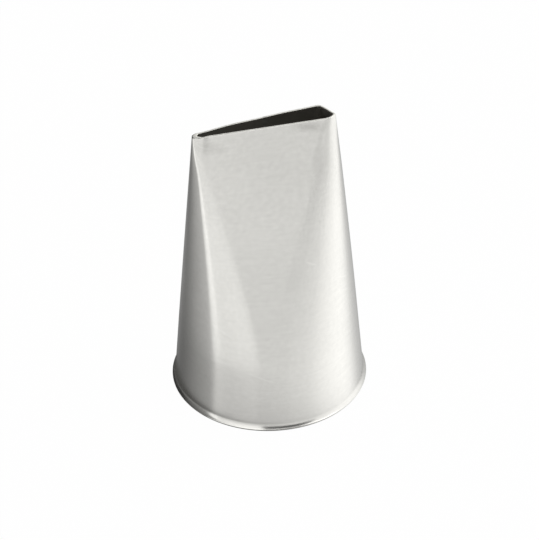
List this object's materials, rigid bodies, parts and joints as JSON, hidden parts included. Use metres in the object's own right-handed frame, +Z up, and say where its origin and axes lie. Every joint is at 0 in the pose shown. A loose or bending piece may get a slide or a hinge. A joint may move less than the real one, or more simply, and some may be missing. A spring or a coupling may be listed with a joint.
{
  "type": "piping nozzle",
  "caption": "Large petal piping nozzle: a stainless cone with a flared foot rim and a slanted teardrop mouth for piping petals and ruffles.",
  "frame": {"origin": "centre of the foot rim, on the surface that the nozzle stands on", "axes": "+Z up the nozzle from foot to mouth, +X towards the wide end of the mouth, -Y towards the front"},
  "size_m": [0.028, 0.028, 0.0453],
  "materials": {
    "stainless_sheet": "brushed round the cone",
    "stainless_weld": "weld bead dressed nearly flush"
  },
  "bodies": {
    "root": {"nozzle_shell": "stainless_sheet", "seam_weld": "stainless_weld"}
  },
  "joints": []
}
